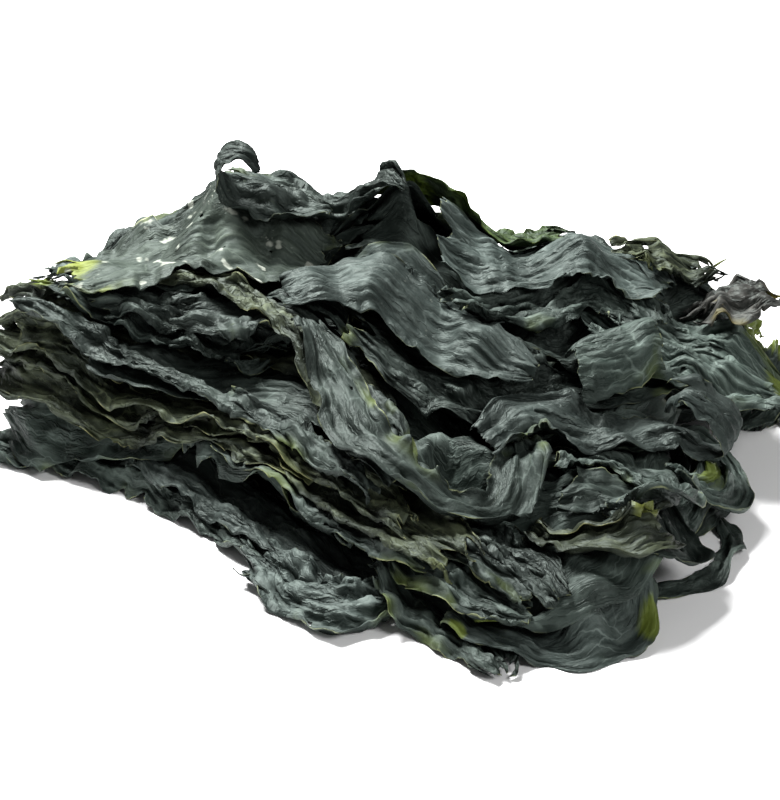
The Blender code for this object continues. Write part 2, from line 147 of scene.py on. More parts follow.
# %% Track and facets
def prepare(frond):
    """Gives the frond its track seen from above, its side profile, and the places of the facets.

    The profile runs level, then round the rolled tip if there is one. Facets are spaced evenly in
    `length / facet + turning / TURN`."""
    spans = len(frond.route) - 1
    line = between(np.array(frond.route, float), np.linspace(0, spans, spans * SPAN_STEPS + 1))
    run = np.append(0, np.cumsum(np.hypot(*np.diff(line, axis=0).T)))
    frond.plan_length = run[-1]
    d = np.linspace(0, run[-1], TRACK_STEPS + 1)
    x, y = (softened(np.interp(d, run, line[:, c]), 6) for c in (0, 1))
    tx, ty = np.gradient(x, d), np.gradient(y, d)
    size = np.hypot(tx, ty)
    tx, ty = tx / size, ty / size
    bend = softened(tx * np.gradient(ty, d) - ty * np.gradient(tx, d), 12)
    reach = int(BEND_REACH / (d[1] - d[0])) + 1
    near = np.lib.stride_tricks.sliding_window_view(np.pad(bend, reach, mode="edge"), 2 * reach + 1)
    left = INNER_SHARE / np.maximum(near.max(axis=1), 1e-4)
    right = INNER_SHARE / np.maximum(-near.min(axis=1), 1e-4)
    frond.track = (d, x, y, tx, ty, left, right)
    along = np.linspace(0, run[-1], int(run[-1]))
    up = np.zeros(len(along))
    turning = np.abs(np.interp(along, d, bend)) * BEND_SHARE
    if frond.curl:
        radius, degrees, beyond = frond.curl
        angle = np.radians(degrees)
        a = np.linspace(0, angle, int(radius * angle) + 2)[1:]
        q = np.linspace(0, beyond, int(beyond) + 2)[1:]
        end_x = run[-1] + radius * np.sin(angle)
        end_z = radius * (1 - np.cos(angle))
        along = np.concatenate([along, run[-1] + radius * np.sin(a), end_x + q * np.cos(angle)])
        up = np.concatenate([up, radius * (1 - np.cos(a)), end_z + q * np.sin(angle)])
        turning = np.concatenate([turning, np.full(len(a), 1 / radius), np.zeros(len(q))])
    steps = np.hypot(np.diff(along), np.diff(up))
    arc = np.append(0, np.cumsum(steps))
    frond.length = arc[-1]
    frond.profile = (arc / arc[-1], along, up)
    density = 1 / frond.facet + np.minimum(turning, MOST_TURNING) / TURN
    count = np.append(0, np.cumsum(steps * (density[1:] + density[:-1]) / 2))
    frond.rows = max(8, round(count[-1]))
    frond.stations = np.interp(np.linspace(0, count[-1], frond.rows + 1), count, arc / arc[-1])
    return frond


# %% [markdown]
# ## The section of a frond
# Across the blade, `v` runs from -1 to 1, and along it `s` from 0 to 1. The section is a cosine
# with a few waves: its height is what gathers the flat blade to its dried width. A wave that grows
# towards the margins, a crown or a cup, and a folded-back side are added to it. Seeded sums of
# sines make every frond uneven in its own way.

# %% Section
def wobble(frond, s, which, waves, size=1.0):
    """A smooth seeded wobble of s, within about -size to size: sines of rising frequency."""
    draw = np.random.default_rng(frond.seed * 7 + which)
    total, most = 0.0, 0.0
    for k in range(1, waves + 1):
        share = k ** -0.7
        total = total + share * np.sin(2 * np.pi * (k * s * draw.uniform(0.7, 1.3) + draw.random()))
        most += share
    return 1.6 * size * total / most


def half_width(frond, s, v):
    """Half the gathered width at s, narrowing to the ends by a quarter of a sine wave, with an uneven
    margin."""
    near = TIP_LENGTH / frond.length
    start, end = (share + (1 - share) * np.sin(np.pi / 2 * np.clip(q / near, 0, 1))
                  for share, q in zip(frond.taper, (s, 1 - s)))
    uneven = np.where(v > 0, wobble(frond, s, 1, 6), wobble(frond, s, 2, 6))
    return frond.width / 2 * np.minimum(start, end) * (1 + 0.12 * uneven)


def section(frond, s, v):
    """Sideways place and height of the blade at s along and v across, before it is laid."""
    beyond = np.clip(np.sign(frond.fold) * (v - frond.fold), 0, None) if frond.fold else np.zeros(1)
    v = np.where(beyond > 0, frond.fold - np.sign(frond.fold) * beyond * 0.92, v)
    half = half_width(frond, s, v)
    a = v * half
    if frond.flat:
        h = frond.ruffle * np.clip(np.abs(v) * 3 - 2, 0, 1) * (1 + wobble(frond, s, 5, 5))
        return a, h
    h = frond.crown * (1 - v * v) + frond.cup * np.abs(v) ** 3
    if frond.pleats:
        height = frond.width / (4 * frond.pleats) * np.sqrt(frond.gather ** 2 - 1)
        height = height * (0.75 + 0.35 * wobble(frond, s, 3, 4)) * half / (frond.width / 2)
        phase = np.pi * (wobble(frond, s, 4, 3, 0.5) + 0.37 * frond.seed)
        h = h + height * np.cos(np.pi * frond.pleats * v + phase)
    waves = max(2, round(frond.length / MARGIN_WAVE))
    swing = 2 * np.pi * waves * s + np.where(v > 0, 0, 1.7) + wobble(frond, s, 5, 3, 1.3)
    h = h + frond.ruffle * v * v * np.sin(swing + frond.seed)
    return a, h + FOLD_RISE * np.sqrt(beyond)


# %% Place in the heap
def place(frond, s, v):
    """x, y and height over the bed at s along (0 to 1) and v across (-1 to 1).

    The section is carried along the track, narrowed where the track bends sharply, and set so
    that its lowest point across touches the bed."""
    d, x, y, tx, ty, left, right = frond.track
    share, along, up = frond.profile
    q = np.interp(s, share, along)
    held = np.clip(q, 0, frond.plan_length)
    x, y, tx, ty, left, right = (np.interp(held, d, c) for c in (x, y, tx, ty, left, right))
    a, h = section(frond, s, v)
    line = np.linspace(-1, 1, 25)
    lowest = section(frond, *np.meshgrid(s[:, 0], line, indexing="ij"))[1].min(axis=1, keepdims=True)
    pinch = np.minimum(1, np.where(a > 0, left, right) / half_width(frond, s, v))
    z = (h - lowest) * pinch + np.interp(s, share, up) + np.interp(s, (0, 0.5, 1), frond.lift)
    a = a * pinch
    return x + tx * (q - held) - ty * a, y + ty * (q - held) + tx * a, z


def lattice(frond, finer=1):
    """Values of s and v at the corners of the solid's facets, or of `finer` times as many."""
    steps = np.linspace(0, frond.rows, frond.rows * finer + 1)
    s = np.interp(steps, np.arange(frond.rows + 1), frond.stations)
    return np.meshgrid(s, np.linspace(-1, 1, frond.across * finer + 1), indexing="ij")


# %% [markdown]
# ## Laying a frond on the heap
# A real heap is made one frond after another: each sags until it lies on the ones before it,
# bridges the hollows that it is too stiff to follow, and hangs over edges. The heap so far is kept
# as a height map. A frond takes the height of a sheet draped on that map, is raised where it would
# still touch, and then sinks in small steps until its solid is one gap away from another.

# %% The heap so far
SPREAD = 14.0          # radius over which a raised point lifts its neighbours
STEEPEST = 1.3         # a stiff dried blade hangs over an edge and falls no steeper than this
SINKING = 0.1          # step by which a laid blade sinks onto the heap


def with_neighbours(grid):
    """The grid nine times over: as it is, and moved by one cell to each of its eight sides."""
    rows, columns = grid.shape
    wide = np.pad(grid, 1, mode="edge")
    return [wide[i:i + rows, j:j + columns] for i in range(3) for j in range(3)]


class Heap:
    """What has been laid so far: a map of its top, and the solids themselves."""

    def __init__(self):
        self.top = np.zeros(MAP_CELLS)
        self.grown = self.top
        self.points = np.zeros((0, 3))
        self.faces = np.zeros((0, 3), int)
        self.tree = None

    @staticmethod
    def cell(x, y):
        """The map's cell at x, y: whole steps from its corner, held inside the map."""
        i = ((np.asarray(x) - MAP_CORNER[0]) / CELL).astype(int)
        j = ((np.asarray(y) - MAP_CORNER[1]) / CELL).astype(int)
        return np.clip(i, 0, MAP_CELLS[0] - 1), np.clip(j, 0, MAP_CELLS[1] - 1)

    def under(self, x, y):
        """Height of the heap at x, y, with one cell to spare on every side."""
        return self.grown[self.cell(x, y)]

    def raise_map(self, spots):
        """Marks these spots on the map, and widens the map's heights by one cell."""
        np.maximum.at(self.top, self.cell(spots[..., 0], spots[..., 1]), spots[..., 2])
        self.grown = np.max(with_neighbours(self.top), axis=0)

    def sinking(self, points, faces):
        """How far this solid can sink until it has only GAP under it, or lies on the surface."""
        height = points[:, 2].min()
        sunk = 0.0
        while sunk < height:
            lower = min(sunk + SINKING, height)
            tried = BVHTree.FromPolygons((points - (0, 0, lower + GAP)).tolist(), faces.tolist())
            if self.tree and self.tree.overlap(tried):
                break
            sunk = lower
        return sunk

    def add(self, points, faces):
        """Takes a laid solid into the map and among the solids that the next ones must clear."""
        self.raise_map(spots_on(points, faces))
        self.faces = np.vstack([self.faces, faces + len(self.points)])
        self.points = np.vstack([self.points, points])
        self.tree = BVHTree.FromPolygons(self.points.tolist(), self.faces.tolist())


# %% Draping
def draped(x, y, height, to_x, to_y, radius):
    """Height of a sheet laid on the points: it bridges hollows that are tighter than its radius.

    A paraboloid of that radius is pressed on the points from above, and the sheet is what it
    can't reach. Where that falls too steeply, the sheet hangs over the edge instead."""
    apart = (x[:, None] - x) ** 2 + (y[:, None] - y) ** 2
    held = (height - apart / (2 * radius)).max(axis=1)
    apart = (to_x[:, None] - x) ** 2 + (to_y[:, None] - y) ** 2
    sheet = (held + apart / (2 * radius)).min(axis=1)
    apart = np.hypot(to_x[:, None] - to_x, to_y[:, None] - to_y)
    return (sheet - STEEPEST * apart).max(axis=1)


# %% [markdown]
# ## A closed blade
# A blade is its middle surface moved half the thickness to each side, with a rim between the two.
# Both faces are split along the same diagonals, so that they never cross.

# %% Blade from a lattice
def normals_of(middle):
    """Unit normals of a lattice of points: the cross product of its two gradients."""
    normal = np.cross(np.gradient(middle, axis=0), np.gradient(middle, axis=1))
    return normal / np.maximum(np.linalg.norm(normal, axis=2, keepdims=True), 1e-9)


def blade_faces(kept):
    """Triangles of both faces and of the walls between them.

    `kept` says which cells of the lattice are blade and which are air. Each cell gives two triangles
    above and two below, and each side where blade meets air gets a wall."""
    rows, columns = kept.shape
    corner = np.arange((rows + 1) * (columns + 1)).reshape(rows + 1, columns + 1)
    a, b, c, d = corner[:-1, :-1], corner[1:, :-1], corner[1:, 1:], corner[:-1, 1:]
    other = np.add.outer(np.arange(rows), np.arange(columns)) % 2 == 1
    first = np.where(other[..., None], np.stack([a, b, c], 2), np.stack([a, b, d], 2))[kept]
    second = np.where(other[..., None], np.stack([a, c, d], 2), np.stack([b, c, d], 2))[kept]
    upper = np.vstack([first, second])
    wide = np.pad(kept, 1)
    ends = []
    for near, here, start, end in ((wide[:-2, 1:-1], kept, d, a), (wide[2:, 1:-1], kept, b, c),
                                   (wide[1:-1, :-2], kept, a, b), (wide[1:-1, 2:], kept, c, d)):
        open_side = here & ~near
        ends.append(np.stack([start[open_side], end[open_side]], 1))
    start, end = np.vstack(ends).T
    under = corner.size
    walls = [np.stack([start, start + under, end], 1), np.stack([end, start + under, end + under], 1)]
    return np.vstack([upper, upper[:, ::-1] + under, *walls])


def blade_points(middle, thickness):
    """Corners of both faces: the middle surface moved half the thickness along its normals."""
    half = normals_of(middle) * np.asarray(thickness)[..., None] / 2
    return np.concatenate([middle + half, middle - half]).reshape(-1, 3)


def spots_on(points, faces, parts=14):
    """Points spread over every facet, close enough for each map cell to get some."""
    share = np.array([(i / parts, j / parts) for i in range(parts + 1) for j in range(parts + 1 - i)])
    a, b, c = (points[faces[:, k]][:, None] for k in range(3))
    return a + (b - a) * share[:, :1] + (c - a) * share[:, 1:]


# %% Laying
def lay(heap, frond):
    """Lays the frond's solid on the heap, and keeps the height of its bed in `frond.bed`."""
    x, y, _ = (c.ravel() for c in place(frond, *lattice(frond, 3)))
    s, v = lattice(frond)
    to_x, to_y, rise = place(frond, s, v)
    bed = draped(x, y, heap.under(x, y), to_x.ravel(), to_y.ravel(), frond.stiff).reshape(s.shape)
    points = blade_points(np.stack([to_x, to_y, bed + rise + BLADE / 2], axis=2), BLADE)
    faces = blade_faces(np.full((s.shape[0] - 1, s.shape[1] - 1), True))
    spots = spots_on(points, faces)
    sunk = heap.under(spots[..., 0], spots[..., 1]) + GAP - spots[..., 2]
    raised = np.zeros(s.size)
    for k in range(3):
        np.maximum.at(raised, faces[:, k] % s.size, sunk.max(axis=1))
    apart = (to_x.ravel()[:, None] - to_x.ravel()) ** 2 + (to_y.ravel()[:, None] - to_y.ravel()) ** 2
    raised = np.maximum((raised - apart / (2 * SPREAD)).max(axis=1), 0)
    points[:, 2] += np.tile(raised, 2)
    spots = spots_on(points, faces)
    spare = (spots[..., 2] - heap.under(spots[..., 0], spots[..., 1])).min() - GAP
    points[:, 2] -= spare
    sunk = heap.sinking(points, faces)
    points[:, 2] -= sunk
    heap.add(points, faces)
    frond.bed = bed + raised.reshape(s.shape) - spare - sunk
    frond.solid = points
    return frond


# %% [markdown]
# ## The fronds of this heap
# Each line is one frond: its route, its width and how it dried. The lowest ones lie on the surface
# and stick out from under the heap.

# %% Low fronds
LOW_FRONDS = [
    Frond("flat_base", [(-150, 35), (-60, 30), (30, 10), (120, 0)], 84, ruffle=2, flat=True,
          across=6, facet=28),
    Frond("low_left", [(-215, 50), (-170, 32), (-120, 2), (-80, -35), (-45, -88)], 42, ruffle=4, facet=14),
    Frond("low_centre", [(-125, 5), (-85, -25), (-40, -75), (10, -112)], 40, "blue", gather=1.2),
    Frond("right_loop", [(112, -12), (142, -10), (162, -32), (166, -62), (153, -90), (129, -102),
                         (102, -104)], 12, pleats=1, gather=1.1, ruffle=1.5, stiff=50, across=2),
    Frond("back_low", [(-190, 80), (-110, 140), (0, 155), (110, 140)], 50, ruffle=4, facet=24),
    Frond("right_low", [(92, 138), (150, 130), (190, 108), (202, 80), (195, 56)], 42, ruffle=4, facet=14),
]

# %% [markdown]
# ## The hidden fronds
# What carries the fronds that show can't be seen, so it is a guess: wide fronds, deeply pleated,
# on routes that are plain bows, from the lowest to the topmost. Long ones lie under the crest from
# end to end, and shorter ones where the heap is highest.

# %% Hidden fronds
INNER_WIDTH = 78.0
INNER_GATHER = 1.51
INNER_FACET = 30.0
INNER_ROUTES = [
    [(-200, 80), (-80, 85), (40, 50), (190, 100)],
    [(-200, 85), (-90, 80), (30, 55), (190, 95)],
    [(190, 100), (80, 50), (-60, 85), (-200, 85)],
    [(-200, 60), (-60, 10), (50, -35), (110, -35), (155, 15)],
    [(190, 115), (70, 105), (-125, 120)],
    [(190, 85), (60, 30), (-80, 75), (-190, 80)],
    [(130, -35), (50, -75), (-40, -25), (-95, 15)],
    [(115, 115), (20, 120), (-80, 130)],
    [(140, -15), (95, -70), (30, -65), (-15, -35)],
    [(-35, 135), (45, 125), (125, 115)],
    [(-25, 75), (50, 45), (130, 65)],
]
INNER_FRONDS = [
    Frond(f"inner_{number}", route, INNER_WIDTH, gather=INNER_GATHER, stiff=12, facet=INNER_FACET,
          seed=20 + number)
    for number, route in enumerate(INNER_ROUTES, 1)
]

# %% [markdown]
# ## The fronds that show
# They follow from the lowest to the topmost, as they can be told apart from outside. Narrow strands
# that dried between the wide blades share one way of drying.

# %% Fronds that show
STRAND = dict(pleats=1, gather=1.2, ruffle=2.5, across=2)
OUTER_FRONDS = [
    Frond("silver_pocket", [(-70, -80), (-40, -112), (-18, -122), (8, -118)], 30, "blue", cup=3),
    Frond("front_tip", [(-5, -100), (25, -130), (42, -148), (52, -172)], 40, gather=1.2, taper=(0.6, 0.1)),
    Frond("outer_lobe", [(26, -132), (57, -146), (84, -147), (105, -131), (111, -106)], 38, "blue",
          pleats=1, gather=1.2, crown=6),
    Frond("inner_lobe", [(30, -118), (60, -133), (84, -132), (102, -116), (108, -92)], 40, gather=1.25,
          ruffle=2, crown=5),
    Frond("right_lobe", [(78, -76), (108, -72), (130, -88), (134, -106), (108, -116)], 28, gather=1.2, cup=3),
    Frond("back_middle", [(-150, 125), (-60, 140), (40, 135), (130, 120), (180, 90)], 54, gather=1.35,
          ruffle=4, facet=22),
    Frond("front_pleats", [(-30, -55), (10, -100), (40, -130), (66, -145)], 40, pleats=3, ruffle=2, across=6),
    Frond("middle_pleats", [(15, -85), (40, -112), (62, -130), (75, -148)], 38, pleats=3, ruffle=2, across=6),
    Frond("front_strand", [(-95, -18), (-55, -52), (-18, -92), (18, -128)], 16, pleats=1, gather=1.2,
          ruffle=3, across=2, facet=20, seed=153),
    Frond("folded_lip", [(66, -82), (84, -104), (108, -112), (130, -100)], 42, "olive", pleats=1, gather=1.1,
          ruffle=1, fold=0.4, across=5),
    Frond("lip_band", [(-210, 55), (-170, 30), (-115, 4), (-52, -40), (0, -92), (38, -135)], 34, "olive",
          facet=14),
    Frond("wide_olive", [(-205, 60), (-160, 38), (-110, 12), (-55, -26), (-5, -76)], 38, "olive",
          pleats=3, gather=1.35, across=6, facet=14),
    Frond("olive_strand", [(-210, 54), (-160, 28), (-112, 0), (-60, -35), (-15, -82), (12, -116)], 20,
          "olive", **STRAND),
    Frond("rosette", [(66, -62), (94, -45), (122, -56), (126, -84), (98, -98)], 34, gather=1.45, ruffle=4),
    Frond("brown_strip", [(-210, 62), (-165, 44), (-120, 28), (-80, 14), (-38, -8), (0, -40)], 38, "olive",
          gather=1.35, ruffle=4),
    Frond("smooth_band", [(-150, 22), (-100, 8), (-52, -10), (-14, -42), (14, -92)], 30, pleats=1,
          gather=1.1, ruffle=1.5, cup=3, stiff=60, across=3),
    Frond("brown_strand", [(-205, 72), (-150, 52), (-95, 34), (-48, 10), (-12, -24), (8, -62)], 18,
          "olive", **STRAND),
    Frond("lip_strand", [(-196, 50), (-150, 24), (-100, -4), (-48, -46), (-8, -98)], 15, facet=20,
          seed=151, **STRAND),
    Frond("ragged_left", [(-186, 66), (-160, 62), (-125, 47), (-85, 27), (-45, 12)], 44, ruffle=6),
    Frond("dark_strips", [(-155, 44), (-105, 42), (-60, 27), (-25, 7)], 42, gather=1.35),
    Frond("wide_fall", [(-110, 22), (-65, 22), (-36, 6), (-16, -38), (6, -92)], 34, gather=1.25),
    Frond("dark_strand", [(-130, 52), (-80, 42), (-40, 28), (-12, 8)], 18, **STRAND),
    Frond("thin_strand", [(-150, 56), (-100, 40), (-60, 16), (-36, -22), (-14, -62)], 14, "olive",
          facet=20, seed=152, **STRAND),
    Frond("spiral_bed", [(98, -32), (130, -12), (160, -18), (160, -44), (134, -54)], 30),
    Frond("right_edge", [(150, 5), (178, 22), (200, 50), (208, 82)], 42, ruffle=5, lift=(0, 8, 16)),
    Frond("right_fan", [(100, 60), (132, 45), (165, 27), (202, 14)], 54, pleats=3, gather=1.35, ruffle=4,
          across=6),
    Frond("brown_sheet", [(150, 58), (178, 54), (208, 52)], 46, "brown", gather=1.2, ruffle=4,
          lift=(4, 12, 22)),
    Frond("centre_fold", [(-20, 14), (20, 2), (56, -8), (92, 6)], 40, gather=1.35),
    Frond("s_fold", [(-44, 6), (-24, -34), (-10, -76), (22, -98), (54, -84), (64, -54), (62, -30)],
          26, gather=1.2, cup=3),
    Frond("middle_sweep", [(42, -46), (70, -26), (104, -28), (138, -22), (152, -26)], 34, "blue",
          gather=1.2, curl=(14, 262, 2), taper=(0.8, 0.4)),
    Frond("back_high", [(-130, 110), (-40, 125), (50, 115), (130, 95)], 56, gather=1.4, ruffle=4, facet=16),
    Frond("upper_left", [(-158, 104), (-125, 116), (-90, 110), (-50, 96)], 40),
    Frond("pale_sheet", [(-170, 52), (-125, 68), (-80, 74), (-25, 70)], 66, "pale", gather=1.06),
    Frond("grey_piece", [(58, 32), (30, 44), (0, 52), (-35, 40)], 40, "blue", pleats=1, gather=1.1,
          ruffle=1, fold=0.4, across=5, stiff=45),
    Frond("long_strip", [(-55, 27), (-10, 32), (30, 17), (72, -6)], 38, "blue", pleats=1, gather=1.08,
          ruffle=2, crown=3, stiff=70, taper=(0.6, 0.15)),
    Frond("pleated_strip", [(25, 30), (65, 50), (110, 60), (138, 35)], 42, pleats=3, gather=1.35, across=6),
    Frond("blue_sheet", [(25, 78), (70, 80), (110, 80), (148, 65)], 54, "blue", gather=1.1),
    Frond("rolled_blade", [(90, 4), (110, 9), (134, 17)], 42, pleats=0, ruffle=1, crown=18, stiff=60,
          taper=(0.9, 0.7)),
    Frond("ragged_right", [(115, 80), (145, 85), (178, 80)], 34, "olive", ruffle=5, lift=(0, 2, 4)),
    Frond("green_back", [(-30, 112), (5, 112), (40, 112), (95, 100)], 36, "green", gather=1.15),
    Frond("narrow_ridge", [(-85, 114), (-50, 106), (-18, 92), (8, 78)], 26, gather=1.25, taper=(0.5, 0.3)),
    Frond("hook", [(-30, 84), (-54, 87), (-78, 88)], 22, pleats=1, gather=1.2, ruffle=1, curl=(12, 225, 4),
          lift=(0, 0, 1), across=3),
]
print("low, hidden and showing fronds:", len(LOW_FRONDS), len(INNER_FRONDS), len(OUTER_FRONDS))

# %% [markdown]
# ## Lay the heap
# The low fronds come first, then the hidden ones, then those that show. The middle of the footprint
# becomes the origin, as in the imported model. Each solid's box is compared with the imported one,
# and the largest difference is printed.

# %% All fronds, laid
FIRST_SEED = 60
for number, frond in enumerate(frond for frond in LOW_FRONDS + OUTER_FRONDS if not frond.seed):
    frond.seed = FIRST_SEED + number
heap = Heap()
laid = [lay(heap, prepare(frond)) for frond in LOW_FRONDS + INNER_FRONDS + OUTER_FRONDS]
lowest = np.min([frond.solid.min(axis=0) for frond in laid], axis=0)
highest = np.max([frond.solid.max(axis=0) for frond in laid], axis=0)
LAID_ORIGIN = np.array([(lowest[0] + highest[0]) / 2, (lowest[1] + highest[1]) / 2, lowest[2]])
apart = 0.0
for frond in laid:
    packed = np.array(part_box(frond.name)) * 1000
    laid_box = np.array([frond.solid.min(axis=0), frond.solid.max(axis=0)]) - LAID_ORIGIN
    apart = max(apart, np.abs(laid_box - packed).max())
print("fronds laid:", len(laid), "furthest from the packed boxes, mm:", round(float(apart), 3))

# %% [markdown]
# ## Uneven growth
# Every finer form below needs smooth randomness in two directions. A sum of sine waves that run in
# random directions, each shorter and weaker than the one before, gives that from whole arrays. Where
# a blade is stiff it breaks into flat facets instead, and a second kind of noise gives those.

# %% Seeded noise
SHORTER = 1.55         # each wave is so many times shorter than the one before
WEAKER = 0.9           # power of the rate by which it is weaker
REPEAT = 64            # steps after which the facets repeat


def wander(x, y, seed, waves=6):
    """Smooth noise of x and y, given in wavelengths of its longest wave, spread about one."""
    draw = np.random.default_rng(seed)
    total, power = 0.0, 0.0
    for k in range(waves):
        turn, start = draw.uniform(0, 2 * np.pi, 2)
        rate = SHORTER ** k
        share = rate ** -WEAKER
        total = total + share * np.sin(2 * np.pi * rate * (x * np.cos(turn) + y * np.sin(turn)) + start)
        power += share ** 2 / 2
    return total / np.sqrt(power)


def faceted(x, y, seed):
    """Noise of flat facets that meet in sharp creases, like crumpled paper, within about one.

    Random heights stand on a bent lattice with steps of 1 in x and y. Each mesh of it is split
    into two triangles, and the height runs straight across each. The lattice repeats."""
    x, y = x + 0.4 * wander(x / 4, y / 4, seed, 3), y + 0.4 * wander(x / 4, y / 4, seed + 1, 3)
    heights = np.random.default_rng(seed + 2).uniform(-1, 1, (REPEAT, REPEAT))
    i, j = np.floor(x).astype(int), np.floor(y).astype(int)
    f, g = x - i, y - j
    a, b, c, d = (heights[(i + m) % REPEAT, (j + n) % REPEAT] for n in (0, 1) for m in (0, 1))
    return np.where(f + g < 1, a + f * (b - a) + g * (c - a), d + (1 - f) * (c - d) + (1 - g) * (b - d))


# %% [markdown]
# ## Pleats, facets and frills
# The solids carry only the broad waves. On the real blade those are broken into narrow pleats with
# round backs and sharp valleys that run lengthwise, drift, fade and start again. `abs(sin)` has just
# that form. Noise that is folded at zero gives creases that split and run together. Between them
# the stiff blade has flat facets, and where it was squeezed while it dried, small crumples. Its
# margins are frilled and roll up or down, most of all the bands of the left wall, which hang over.
# Pleats also lean to one side, so the surface moves sideways as well as up.

# %% Sizes of the fine relief
PLEAT = 10.0           # usual distance between two valleys
PLEAT_HEIGHT = 2.9
CREASE_HEIGHT = 1.3
FACET_HEIGHT = 2.6
CRUMPLE_HEIGHT = 2.0
FRILL_REACH = 5.0      # how far in from the margin the frill goes
FRILL_WAVE = 22.0
FRILL_HEIGHT = 1.8
ROLL = 4.0             # how far a margin rolls down or up
ROLL_REACH = 9.0
LEAN = 0.8             # how far a pleat leans over, as a share of its height
# Fronds whose margins all hang down, so many times as far, or don't roll at all
HANGING = {"lip_band": 2.2, "wide_olive": 2.0, "brown_strip": 2.0, "smooth_band": 1.5,
           "ragged_left": 1.2, "hook": 0.0}
# frond: strength of its pleats, and how much of it is crumpled
USUAL_RELIEF = (1.0, 0.3)
RELIEF = {
    "long_strip": (0.3, 0.0), "outer_lobe": (0.35, 0.1), "inner_lobe": (0.4, 0.1), "right_lobe": (0.5, 0.1),
    "smooth_band": (0.3, 0.0), "rolled_blade": (0.2, 0.3), "blue_sheet": (0.4, 0.1),
    "pale_sheet": (0.25, 0.2), "right_loop": (0.4, 0.1), "hook": (0.4, 0.1), "s_fold": (0.45, 0.15),
    "middle_sweep": (0.6, 0.1), "low_centre": (0.5, 0.2), "wide_fall": (0.9, 0.2), "rosette": (0.9, 1.0),
    "front_pleats": (1.2, 0.6), "silver_pocket": (0.9, 1.0), "spiral_bed": (1.0, 0.7),
    "middle_pleats": (1.3, 0.3), "right_fan": (1.3, 0.1), "pleated_strip": (1.2, 0.2),
    "dark_strips": (1.1, 0.6), "upper_left": (0.9, 0.7), "low_left": (0.9, 0.9), "ragged_left": (0.9, 0.8),
    "grey_piece": (0.7, 0.5), "lip_band": (1.0, 0.6), "wide_olive": (1.1, 0.8), "brown_strip": (1.0, 0.6),
    "flat_base": (0.0, 0.0),
}
print("fronds with a relief of their own:", len(RELIEF))


# %% Fine relief
def relief(frond, across, along, reach):
    """Height over the broad form, the shift sideways, and how much each spot stands out.

    The height is the sum of pleats, creases where noise is folded at zero, facets in two sizes,
    crumples where a slow noise says so, and near the margin a sine for the frill and a bell for the
    roll. Slow noise gives each its changing strength."""
    k = 100 * frond.seed
    pleated, crumpled = RELIEF.get(frond.name, USUAL_RELIEF)
    drift = 0.8 * wander(along / 110, across / 40, k)
    strength = np.clip(0.65 + 0.4 * wander(along / 70, across / 28, k + 1), 0.1, 1.4)
    back = np.abs(np.sin(np.pi * (across / PLEAT + drift))) - 0.64
    turned = np.tanh(2 * wander(along / 90, across / 40, k + 2))
    pleats = back * turned * strength * pleated
    creases = (0.78 - np.abs(wander(along / 60, across / 9, k + 3, 5))) * (0.5 + 0.5 * pleated)
    where = np.clip(1.4 * crumpled - 0.5 + 0.4 * wander(along / 50, across / 35, k + 4), 0, 1)
    slant = along / 26 + across / 45
    facets = faceted(slant, across / 10 - along / 70, k + 20) * (0.15 + 0.85 * min(pleated, 1))
    facets = facets + 0.5 * faceted(2.3 * slant, across / 4.6 + along / 40, k + 23) * (0.2 + 0.8 * where)
    crumples = faceted(along / 8, across / 7, k + 26) * where
    frilled = np.clip(0.4 + 0.6 * wander(along / 60, np.sign(across) * 3.1, k + 7, 3), 0, 1.2)
    swing = 2 * np.pi * along / FRILL_WAVE + 2.5 * wander(along / 45, np.sign(across) * 5.2, k + 8)
    frill = np.exp(-reach / FRILL_REACH) * frilled * np.sin(swing)
    rolled = np.clip(0.2 + 0.6 * wander(along / 70, np.sign(across) * 2.3, k + 12, 3), -0.8, 1)
    if frond.name in HANGING:
        rolled = HANGING[frond.name] * (0.6 + 0.4 * rolled)
    roll = -np.exp(-(reach / ROLL_REACH) ** 2) * rolled
    height = (PLEAT_HEIGHT * pleats + CREASE_HEIGHT * creases + FACET_HEIGHT * facets
              + CRUMPLE_HEIGHT * crumples + FRILL_HEIGHT * frill + ROLL * roll)
    sideways = LEAN * np.tanh(1.5 * wander(along / 80, across / 60, k + 9)) * PLEAT_HEIGHT * pleats
    return height, sideways, np.clip(pleats + 0.5 * creases + 0.4 * facets + 0.5 * crumples, -1, 1)


# %% [markdown]
# ## The fine middle surface
# The broad form and its bed are known at the solid's few stations. Read in between along a smooth
# cubic, they give a close lattice, and the relief moves each point of it along the normal.

# %% Fine middle surface
ALONG_STEP = 1.8       # spacing of the lattice along a frond
ACROSS_STEP = 1.12     # and across it
HIDDEN_STEP = 3.4      # both on the hidden fronds


def even_lattice(rows, columns):
    """s from 0 to 1 and v from -1 to 1, at the corners of so many even rows and columns."""
    return np.meshgrid(np.linspace(0, 1, rows + 1), np.linspace(-1, 1, columns + 1), indexing="ij")


def fine_surface(frond, step_along, step_across):
    """The blade's middle surface: its broad form on its bed, moved along its normals by the relief."""
    flat = frond.width * frond.gather
    s, v = even_lattice(round(frond.length / step_along), round(flat / step_across))
    x, y, rise = place(frond, s, v)
    down = np.interp(s[:, 0], frond.stations, np.arange(frond.rows + 1))
    bed = between(between(frond.bed, down).T, (v[0] + 1) / 2 * frond.across).T
    middle = np.stack([x, y, bed + rise + BLADE / 2], axis=2)
    across = v * flat / 2
    along = s * frond.length
    reach = np.minimum((1 - np.abs(v)) * half_width(frond, s, v), np.minimum(s, 1 - s) * frond.length)
    height, sideways, crest = relief(frond, across, along, reach)
    side = np.gradient(middle, axis=1)
    side /= np.linalg.norm(side, axis=2, keepdims=True)
    middle = middle + normals_of(middle) * height[..., None] + side * sideways[..., None]
    return middle, across, along, crest


# %% [markdown]
# ## Clear of the fronds below
# The finer forms could cut into what lies under them. A second height map, of the fine blades,
# shows where, and the blade is raised there with its neighbours, so that it drapes over.

